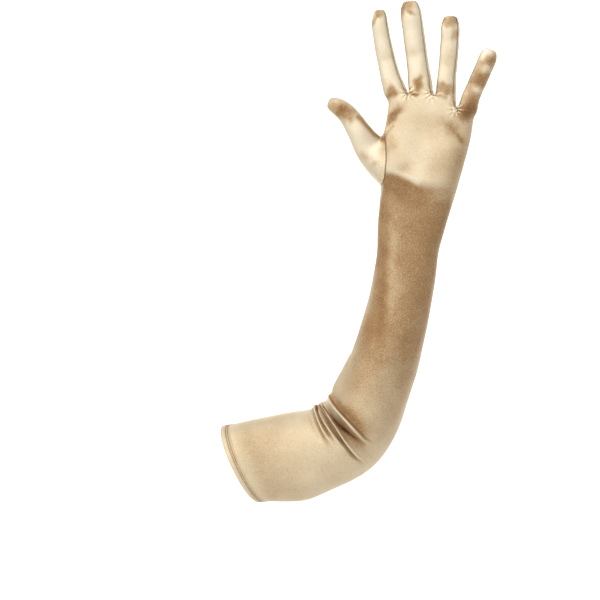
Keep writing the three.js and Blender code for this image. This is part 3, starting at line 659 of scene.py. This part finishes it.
def surfaceForms(points, normals):
    # sums of bells: round ones for the hollows, long ones with raised lips for the creases, and a fan of waves
    # round each crotch; all of it only where the cloth faces the side that is seen. Besides the lift it gives painted
    # shade in the hollows, the creases and between the gathers, and painted highlights on the gathers' ridges and
    # where an amount is below 0
    x, z = seenFrom(points)
    driftX = 0.8 * np.sin(z / 2.7 + 1) + 0.5 * np.sin(z / 1.3)
    driftZ = 0.8 * np.sin(x / 2.4) + 0.5 * np.sin(x / 1.1 + 2)
    x, z = x + driftX, z + driftZ
    facing = smooth(-(normals @ viewAway), 0.05, 0.45)
    lift, tone = np.zeros_like(x), np.zeros_like(x)
    for x0, z0, long, short, turn, depth, deep in surface["hollows"]:
        c, s = np.cos(np.radians(turn)), np.sin(np.radians(turn))
        along, over = (x - x0) * c + (z - z0) * s, (z - z0) * c - (x - x0) * s
        away = (along / long) ** 2 + (over / short) ** 2
        lift -= depth * np.exp(-away)
        tone += deep * np.exp(-0.8 * away ** (1.7 if deep > 0.7 else 1))
    x, z = x - 0.75 * driftX, z - 0.75 * driftZ
    for line, width, depth, lip, deep in surface["creases"]:
        distance = lineDistance(x, z, line)
        valley = bell(distance, width)
        lift += lip * bell(distance - 2 * width, width) - depth * valley
        tone += deep * valley
    fan = surface["gathers"]
    for x0, z0 in surface["crotches"]:
        away, turn = np.hypot(x - x0, z - z0), np.arctan2(z - z0, x - x0)
        fade = bell(away, fan["reach"]) * smooth(away, 0, 2.5)
        lift += fan["height"] * fade * np.cos(fan["count"] * turn)
        tone += fan["tone"] * fade * -np.cos(fan["count"] * turn)
    return lift * facing, tone * facing


x, z = seenFrom(cloth["points"])
rootX, rootZ, reach, rounds = surface["root"]
nearRoot = np.exp(-(((x - rootX) / reach) ** 2) - ((z - rootZ) / reach) ** 2)
cloth["points"] = relaxed(cloth["points"], cloth["faces"], nearRoot, rounds)
formLift, formPaintedShading = surfaceForms(cloth["points"], cloth["normals"])
turned, turn = np.minimum(angle, 360 - angle), np.radians(angle)
wave = surface["waves"]
waves = wave["height"] * np.sin(station / wave["length"] + 2.1 * np.sin(turn)) * np.cos(2 * turn + station / 31)
waves = waves * smooth(station, *wave["start"]) * (1 - smooth(station, *wave["end"]))
cloth["points"] += cloth["normals"] * (formLift + waves)[:, None]

# painted shade along the sleeve up to the heel of the palm, most where the cloth faces the view, lifted by painted
# highlights on the edges that catch light; the fingers are painted paler
# pale is the painted highlight of the streaks
pale = 0
for place, spread, light in surface["streaks"]:
    pale = pale + light * bell((angle if place > 180 else turned) - place, spread)
pale = pale * (1 - smooth(station, wristAt - 30, wristAt - 8))
seen = smooth(-(cloth["normals"] @ viewAway), -0.1, 0.6)
towardsThumb = np.cos(turn)
heel = wristAt + sleeve["palmLength"] * through(palm["heelLine"], towardsThumb)
fade = mix(mix(6, 17, smooth(-towardsThumb, -0.1, 0.9)), 70, 1 - seen)  # millimetres, least beside the thumb
sleeveShading = np.interp(station, *zip(*surface["stretch"])) * (1 - pale) * mix(0.3, 1, seen)
sleeveShading = sleeveShading * (1 - smooth(station, heel - fade, heel + 0.4 * fade))
sleeveShading -= surface["fingersPaler"] * smooth(station, knuckleAt, knuckleAt + 12)
tone += formPaintedShading + sleeveShading
print("folds and creases made")


# seams: how far each point is from the nearest one
farAway = 60.0  # millimetres, on the sleeve and the hem, which have no seams


def seamDistance(cloth):
    # the seams are the edges between faces of different pieces, found by sorting the edges of all the faces; the
    # distance is that to the nearest point of the nearest of these edges
    faces, pieces = cloth["faces"], cloth["pieces"]
    pairs = np.stack([faces, np.roll(faces, -1, 1)], -1).reshape(-1, 2)
    owner = np.repeat(pieces, 4)
    order = np.lexsort((pairs.max(1), pairs.min(1)))
    key, owner = np.sort(pairs, 1)[order], owner[order]
    onSeam = (key[1:] == key[:-1]).all(1) & (owner[1:] != owner[:-1])
    seam = key[:-1][onSeam]
    start = cloth["points"][seam[:, 0]]
    along = cloth["points"][seam[:, 1]] - start
    middle = start + along / 2
    distance = np.full(len(cloth["points"]), farAway)
    near = np.flatnonzero(cloth["station"] > wristAt)
    for part in np.array_split(near, len(near) // 600 + 1):
        points = cloth["points"][part]
        squares = (points**2).sum(1)[:, None] - 2 * points @ middle.T + (middle**2).sum(1)[None]
        nearest = squares.argmin(1)
        offset, way = points - start[nearest], along[nearest]
        share = np.clip((offset * way).sum(1) / (way**2).sum(1), 0, 1)
        distance[part] = np.linalg.norm(offset - way * share[:, None], axis=1)
    return distance, seam, np.stack([owner[:-1][onSeam], owner[1:][onSeam]], -1)


seams = {
    "groove": 0.1,
    "width": 0.5,
    "lip": 0.14,
    "pucker": 0.16,
    "puckerLength": 5.2,
    "pitch": 2.3,
    "stitch": (1.25, 0.6, 0.24),  # length, width and height
}
distance, seamEdges, seamOwners = seamDistance(cloth)
# how far along the seam: by station on the fingers, by height beside the thumb
run = np.where(station > knuckleAt + 0.5, station, cloth["points"][:, 2])
groove = -seams["groove"] * bell(distance, seams["width"])
lip = seams["lip"] * bell(distance - 1.8, 0.9)
even = np.cos(2 * np.pi * run / seams["puckerLength"]) * bell(distance, 2.6)
uneven = 0.6 * np.sin(run / 1.9 + 1.3 * np.sin(run / 7)) * bell(distance, 4)
cloth["points"] += cloth["normals"] * (groove + lip + seams["pucker"] * (even + uneven))[:, None]
cloth["seam"], cloth["run"], cloth["tone"] = distance, run, np.clip(tone, -1, 2)
print("seams made")


class Socket:  # a value in a node tree, with arithmetic that adds Math nodes
    def __init__(self, finish, link):
        self.finish, self.link = finish, link

    def maths(self, operation, *values):
        return self.finish.node("ShaderNodeMath", {"operation": operation}, *values)

    def __add__(self, other):
        return self.maths("ADD", self, other)

    def __sub__(self, other):
        return self.maths("SUBTRACT", self, other)

    def __mul__(self, other):
        return self.maths("MULTIPLY", self, other)

    def __rsub__(self, other):
        return self.maths("SUBTRACT", other, self)

    __radd__ = __add__
    __rmul__ = __mul__

    def wave(self, length):  # 0 to 1 and back over each length
        return self.maths("SINE", self * (2 * np.pi / length)) * 0.5 + 0.5

    def within(self, edge, soft):  # 1 up to the edge, fading to 0 over soft
        settings = {"interpolation_type": "SMOOTHSTEP"}
        return self.finish.node("ShaderNodeMapRange", settings, self, edge, edge + soft, 1.0, 0.0)


class Finish:  # one material and the nodes that are added to it
    def __init__(self, name):
        self.material = bpy.data.materials.new(name)
        self.material.use_nodes = True
        self.tree = self.material.node_tree
        self.tree.nodes.clear()
        self.shader = self.tree.nodes.new("ShaderNodeBsdfPrincipled")
        output = self.tree.nodes.new("ShaderNodeOutputMaterial")
        self.tree.links.new(self.shader.outputs[0], output.inputs[0])

    def node(self, kind, settings, *values, out=0, **named):
        # settings come first, then the sockets by number or by name
        node = self.tree.nodes.new(kind)
        for key, value in settings.items():
            setattr(node, key, value)
        for key, value in [*enumerate(values), *named.items()]:
            self.plug(node.inputs[key], value)
        return Socket(self, node.outputs[out])

    def plug(self, socket, value):
        if isinstance(value, Socket):
            self.tree.links.new(value.link, socket)
        else:
            socket.default_value = value

    def mark(self, name):  # one of the values kept with the points of a piece
        return self.node("ShaderNodeAttribute", {"attribute_name": name}, out=2)

    def noise(self, place, scale, detail, roughness=0.5, **settings):
        return self.node("ShaderNodeTexNoise", settings, place, Scale=scale, Detail=detail, Roughness=roughness)

    def colours(self, factor, low, high):  # low where the factor is 0 or less, high where it is 1 or more
        mixed = self.node("ShaderNodeMix", {"data_type": "RGBA"}, out=2)
        for key, value in ((0, factor), (6, low), (7, high)):
            self.plug(mixed.link.node.inputs[key], value)
        return mixed

    def set(self, **values):  # sockets of the shader, named without their spaces
        for key, value in values.items():
            (socket,) = [s for s in self.shader.inputs if s.name.replace(" ", "").lower() == key.lower()]
            self.plug(socket, value)


satinLook = {
    # the first colour is a painted highlight, also the sheen's tint; pale and mid are the cloth's own; deep is painted
    # shade and the mottle's darker spots; shadow is a painted shadow; thread is the stitches'
    "crest": (0.96, 0.89, 0.73, 1),
    "pale": (0.89, 0.755, 0.52, 1),
    "mid": (0.68, 0.53, 0.33, 1),
    "deep": (0.41, 0.235, 0.095, 1),
    "shadow": (0.10, 0.025, 0.004, 1),
    "thread": (0.22, 0.13, 0.055, 1),
    "metallic": 0.55,
    "roughness": 0.42,
    "index": 1.6,
    "sheen": {"SheenWeight": 0.25, "SheenRoughness": 0.3},
    "threads": (2600, 420, 1),  # to the metre, round the glove and along it
    "mottle": (880, 9.0, 2.6),  # to the metre, and how far it changes the pale tones and the deep ones
    "cloud": (42, 0.5),  # to the metre, and how far it varies the painted shading and the colour at random
}


def satinFinish(name, look):
    # long fine threads and a coarser mottle tip the surface; the painted shading kept with the points deepens the
    # colour to painted shade and, below 0, pales it to a painted highlight
    finish = Finish(name)
    cloth = finish.node("ShaderNodeUVMap", {"uv_map": "cloth"})
    place = finish.node("ShaderNodeTexCoord", {}, out=3)
    threads = finish.node("ShaderNodeMapping", {}, cloth, Scale=look["threads"])
    (spots, paleSpots, deepSpots), (clouds, cloudy) = look["mottle"], look["cloud"]
    grain = finish.noise(threads, 1.0, 2.0, 0.6, noise_dimensions="2D")
    mottle = finish.noise(place, spots, 2.0, 0.8)
    cloud = finish.noise(place, clouds, 3.0, 0.55)
    tone, seam, run = finish.mark("tone"), finish.mark("seam"), finish.mark("run")
    groove = seam.within(0.15, 0.85)
    nip = groove * run.wave(seams["pitch"])
    # painted shading from the points, varied by the cloud, with the mottle and a little painted shade in the seam
    # grooves: above 0 towards the deep colour, past 1.1 towards a painted shadow, below 0 towards the painted highlight
    shadeAndMottle = tone * (cloud * cloudy + 0.75) + (cloud - 0.5) * cloudy + (mottle - 0.5) * deepSpots + groove * 0.05
    colour = finish.colours((grain - 0.5) * 3.0 + (mottle - 0.5) * paleSpots + 0.5, look["mid"], look["pale"])
    colour = finish.colours(0 - shadeAndMottle, colour, look["crest"])
    colour = finish.colours(shadeAndMottle, colour, look["deep"])
    colour = finish.colours((shadeAndMottle - 1.1) * 0.9, colour, look["shadow"])
    colour = finish.colours(nip * 0.85, colour, look["thread"])
    height = grain * 0.5 + mottle * 0.5 - nip * 1.5 + (1 - groove) * 0.15
    bump = finish.node("ShaderNodeBump", {}, Strength=0.9, Distance=0.0006, Height=height)
    roughness = grain * 0.12 + (look["roughness"] - 0.06) + tone.maths("MAXIMUM", tone, 0.0) * 0.2
    finish.set(BaseColor=colour, Roughness=roughness, Normal=bump)
    finish.set(Metallic=look["metallic"], IOR=look["index"], SpecularIORLevel=0.6)
    finish.set(SheenTint=look["crest"], **look["sheen"])
    return finish.material


satin = satinFinish("champagne satin", satinLook)


def threadFinish(name, colour):
    # twisted thread: close slanting turns across the stitch
    finish = Finish(name)
    place = finish.node("ShaderNodeTexCoord", {}, out=3)
    twist = finish.noise(place, 2600.0, 1.0)
    darker = (*(0.6 * part for part in colour[:3]), 1)
    finish.set(BaseColor=finish.colours(twist, colour, darker), Roughness=0.5)
    finish.set(Normal=finish.node("ShaderNodeBump", {}, Strength=0.4, Distance=0.0001, Height=twist))
    return finish.material


hemThread = threadFinish("gold thread", (0.20, 0.135, 0.045, 1))
seamThread = threadFinish("seam thread", (0.17, 0.10, 0.045, 1))


# the pieces of cloth
wall = 0.9


def meshObject(name, points, faces, material, uvs=None, marks=None):
    mesh = bpy.data.meshes.new(name)
    mesh.vertices.add(len(points))
    mesh.vertices.foreach_set("co", np.ravel(points * mm))
    mesh.loops.add(faces.size)
    mesh.loops.foreach_set("vertex_index", np.ravel(faces))
    mesh.polygons.add(len(faces))
    mesh.polygons.foreach_set("loop_start", np.arange(0, faces.size, faces.shape[1]))
    mesh.update(calc_edges=True)
    if uvs is not None:
        mesh.uv_layers.new(name="cloth").data.foreach_set("uv", np.ravel(uvs))
    addMarks(mesh, marks or {})
    mesh.materials.append(material)
    mesh.shade_smooth()
    piece = addObject(name, mesh)
    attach(piece, "root")
    return piece


def clothPiece(number, name):
    own = cloth["pieces"] == number
    used, faces = np.unique(cloth["faces"][own], return_inverse=True)
    faces = faces.reshape(-1, 4)
    marks = {key: cloth[key][used] for key in ("seam", "run", "tone")}
    points = cloth["points"][used]
    piece = meshObject(name + "_cloth", points, faces, satin, cloth["uvs"][own], marks)
    facesAt = np.bincount(readBack(piece.data.loops, "edge_index", [-1], int))
    piece.data.edges.foreach_set("use_edge_sharp", facesAt == 1)  # the cut edges, so that they don't round off
    shell = piece.modifiers.new("cloth", "SOLIDIFY")
    shell.thickness, shell.offset = wall * mm, -1
    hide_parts(name)
    a, b, c, d = (points[faces[:, n]] for n in range(4))
    area = np.linalg.norm(np.cross(c - a, d - b), axis=1).sum() / 2e6
    print(name, "faces", len(faces), "area", round(area, 5))
    return piece


clothPieces = {name: clothPiece(number, name) for number, name in enumerate(pieceNames)}


# stitches: each a low loaf of thread, a small grid carried to every place
stitchShape = {"rows": 7, "columns": 5}


def stitchMesh(name, places, alongs, outs, size, material):
    (length, width, height), rows, count = size, stitchShape["rows"], stitchShape["columns"]
    turns = np.linspace(0, 2 * np.pi, count, endpoint=False)
    t, turn = np.meshgrid(np.linspace(-1, 1, rows), turns, indexing="ij")
    thick = np.sqrt(np.clip(1 - t**4, 0.02, 1))
    shape = np.stack([t * length / 2, thick * np.cos(turn) * width / 2, thick * np.sin(turn) * height], -1)
    frames = np.stack([alongs, np.cross(outs, alongs), outs], 1)
    shape = shape.reshape(-1, 3)
    points = places[:, None] + shape @ frames
    one = gridFaces(rows, count).reshape(-1, 4)
    faces = (one[None] + (np.arange(len(places)) * len(shape))[:, None, None]).reshape(-1, 4)
    return meshObject(name, points.reshape(-1, 3), faces, material)


def unit(vectors):
    return vectors / np.linalg.norm(vectors, axis=-1, keepdims=True)


def seamStitches():
    # one stitch wherever a whole number of pitches falls within an edge of a seam
    a, b = seamEdges.T
    runA, runB = cloth["run"][a], cloth["run"][b]
    low, high = np.minimum(runA, runB), np.maximum(runA, runB)
    mark = np.ceil(low / seams["pitch"]) * seams["pitch"]
    pointA, pointB = cloth["points"][a], cloth["points"][b]
    found = (mark <= high) & (high - low > 0.35 * np.linalg.norm(pointA - pointB, axis=1))
    share = ((mark - runA) / np.where(runA == runB, 1, runB - runA))[found, None]
    outs = unit(cloth["normals"][a[found]])
    alongs = (pointB - pointA)[found]
    alongs = unit(alongs - outs * (alongs * outs).sum(1, keepdims=True))
    places = mix(pointA[found], pointB[found], share) + outs * 0.02
    return stitchMesh("seam_stitches", places, alongs, outs, seams["stitch"], seamThread)


seamThreads = seamStitches()
for name, piece in clothPieces.items():
    [seamThreads] if name == "trank" else []
print("cloth pieces made")

# the turned hem with its two rows of stitches
hem = {
    "around": 420,
    # distance from the edge and how far the cloth stands out, round the section of the band
    "section": [
        (0.0, -0.3), (0.05, 0.1), (0.5, 0.42), (1.4, 0.55), (2.8, 0.5), (4.0, 0.42), (4.7, 0.22), (5.1, 0.02),
        (5.5, 0.22), (6.0, 0.34), (6.5, 0.24), (6.9, 0.02), (7.3, 0.24), (7.8, 0.5), (8.4, 0.5), (8.8, 0.28),
        (9.0, -0.1), (9.0, -0.8), (8.8, -1.5), (8.0, -1.7), (5.0, -1.7), (1.5, -1.7), (0.4, -1.5), (0.0, -1.0),
    ],
    "rows": (5.1, 6.9),
    "stitches": 96,
    "puckers": 48,
    "puckerHeight": 0.16,
    "stitch": (1.6, 0.72, 0.26),
    "tone": (0.45, 0.3),  # painted shade beside the rows of stitches, and inside
}


def hemSurface(at, angle):
    # the sleeve's surface near its open end, its outward direction and the direction round it
    def point(at, angle):
        place = slantedPoint(at, np.cos(np.radians(angle)), np.zeros_like(at, bool))
        place[..., 1] *= np.where(np.sin(np.radians(angle)) < 0, -1, 1)
        return place

    step = 0.5
    around = unit(point(at, angle + step) - point(at, angle - step))
    outward = unit(np.cross(around, point(at + step, angle) - point(at - step, angle)))
    return point(at, angle), outward, around


def hemBand():
    section = np.array(hem["section"])
    angle = 360 * (np.arange(hem["around"]) + 0.5) / hem["around"]
    at, turned = np.meshgrid(section[:, 0], angle, indexing="ij")
    here, outward, around = hemSurface(at, turned)
    out, turn = section[:, 1:], np.radians(turned)
    pucker = np.cos(turn * hem["puckers"] + 0.8 * np.sin(turn * 5)) * bell(at - np.mean(hem["rows"]), 3)
    raised = out + hem["puckerHeight"] * pucker * np.clip(out + 0.6, 0, 1)
    points = here + outward * raised[..., None]
    rows = len(section)
    faces = (gridFaces(rows + 1, hem["around"]) % (rows * hem["around"])).reshape(-1, 4)
    travelled = np.concatenate([[0], np.cumsum(np.hypot(*np.diff(section, axis=0).T)), [0]])
    travelled[-1] = travelled[-2] + 1
    u = np.arange(hem["around"] + 1) / hem["around"] * girth
    uv = np.stack(np.broadcast_arrays(u[None, :], travelled[:, None] * mm), -1)
    corners = np.stack([uv[:-1, :-1], uv[:-1, 1:], uv[1:, 1:], uv[1:, :-1]], 2).reshape(-1, 4, 2)
    count = rows * hem["around"]
    rowGap = np.minimum(abs(at - hem["rows"][0]), abs(at - hem["rows"][1]))
    # painted shade in the grooves of the rows of stitches and on the inside of the band
    tone = np.where(out > -0.5, hem["tone"][0] * bell(rowGap, 1.1), hem["tone"][1])
    marks = {"seam": np.full(count, farAway), "run": np.zeros(count), "tone": np.ravel(tone)}
    band = meshObject("hem_band", points.reshape(-1, 3), faces, satin, corners, marks)
    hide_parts("hem")
    return band


def hemStitches():
    angle = 360 * (np.arange(hem["stitches"]) + 0.25) / hem["stitches"]
    rows = [hemSurface(np.full(len(angle), at), angle + 1.9 * n) for n, at in enumerate(hem["rows"])]
    places, outs, alongs = (np.concatenate(parts) for parts in zip(*rows))
    return stitchMesh("hem_stitches", places + outs * 0.16, alongs, outs, hem["stitch"], hemThread)


band, threads = hemBand(), hemStitches()
print("hem made")

# camera, light and floor
lights = [
    # name, azimuth and height of its place, distance, width, length, watts
    ("key", -8, 29, 1.7, 1.3, 1.3, 11.5),
    ("front", 0, 4, 2.3, 0.9, 1.8, 5),
    ("low", -35, -22, 2.0, 0.9, 1.0, 5),
    ("left", -65, 38, 1.8, 0.7, 1.4, 9.5),
    ("right", 90, 20, 1.8, 0.7, 1.6, 5),
    ("top", 0, 85, 1.6, 1.4, 1.0, 6),
]
target = Vector(view["target"]) * mm


def way(azimuth, height):
    a, h = np.radians(azimuth), np.radians(height)
    return Vector((np.sin(a) * np.cos(h), -np.cos(a) * np.cos(h), np.sin(h)))


def place(name, data, azimuth, height, distance):  # set on a sphere round the target and aimed at it
    holder = addObject(name, data)
    holder.location = target + way(azimuth, height) * distance
    holder.rotation_euler = way(azimuth, height).to_track_quat("Z", "Y").to_euler()
    return holder


def areaLamp(name, azimuth, height, distance, width, length, watts):
    lamp = bpy.data.lights.new(name, "AREA")
    lamp.shape, lamp.size, lamp.size_y, lamp.energy = "RECTANGLE", width, length, watts
    return place(name, lamp, azimuth, height, distance)


cameraData = bpy.data.cameras.new("camera")
cameraData.lens = 36 * view["distance"] / view["width"]
cameraData.clip_end = 20
bpy.context.scene.camera = place("camera", cameraData, view["azimuth"], 0, view["distance"] * mm)
for row in lights:
    areaLamp(*row)
behind = areaLamp("paper", 180, 40, 1.0, 2.4, 0.8, 26)
behind.rotation_euler = (np.radians(78), 0, 0)  # turned away from the glove, onto the paper behind it

world = bpy.data.worlds.new("studio")
bpy.context.scene.world = world
world.use_nodes = True
colour, strength = world.node_tree.nodes["Background"].inputs[:2]
colour.default_value, strength.default_value = (1, 0.985, 0.96, 1), 0.36

# a sheet of white paper that runs back under the glove and rises behind it
paper = {"side": 6.0, "profile": [(-4, -0.6), (0.6, -0.6), (1.1, -0.55), (1.5, -0.3), (1.7, 0.3), (1.75, 4)]}
profile = np.array(paper["profile"])
edges = [np.column_stack([np.full(len(profile), x), profile]) for x in (-paper["side"], paper["side"])]
floorMesh = bpy.data.meshes.new("floor")
steps = np.arange(len(profile) - 1)
quads = np.stack([steps, steps + len(profile), steps + len(profile) + 1, steps + 1], -1)
floorMesh.from_pydata(np.concatenate(edges).tolist(), [], quads.tolist())
floorMesh.shade_smooth()
floor = addObject("floor", floorMesh)
white = Finish("white paper")
white.set(BaseColor=(0.9, 0.9, 0.9, 1), Roughness=0.9)
floorMesh.materials.append(white.material)
bpy.context.scene.view_settings.view_transform = "Standard"

bpy.context.view_layer.update()
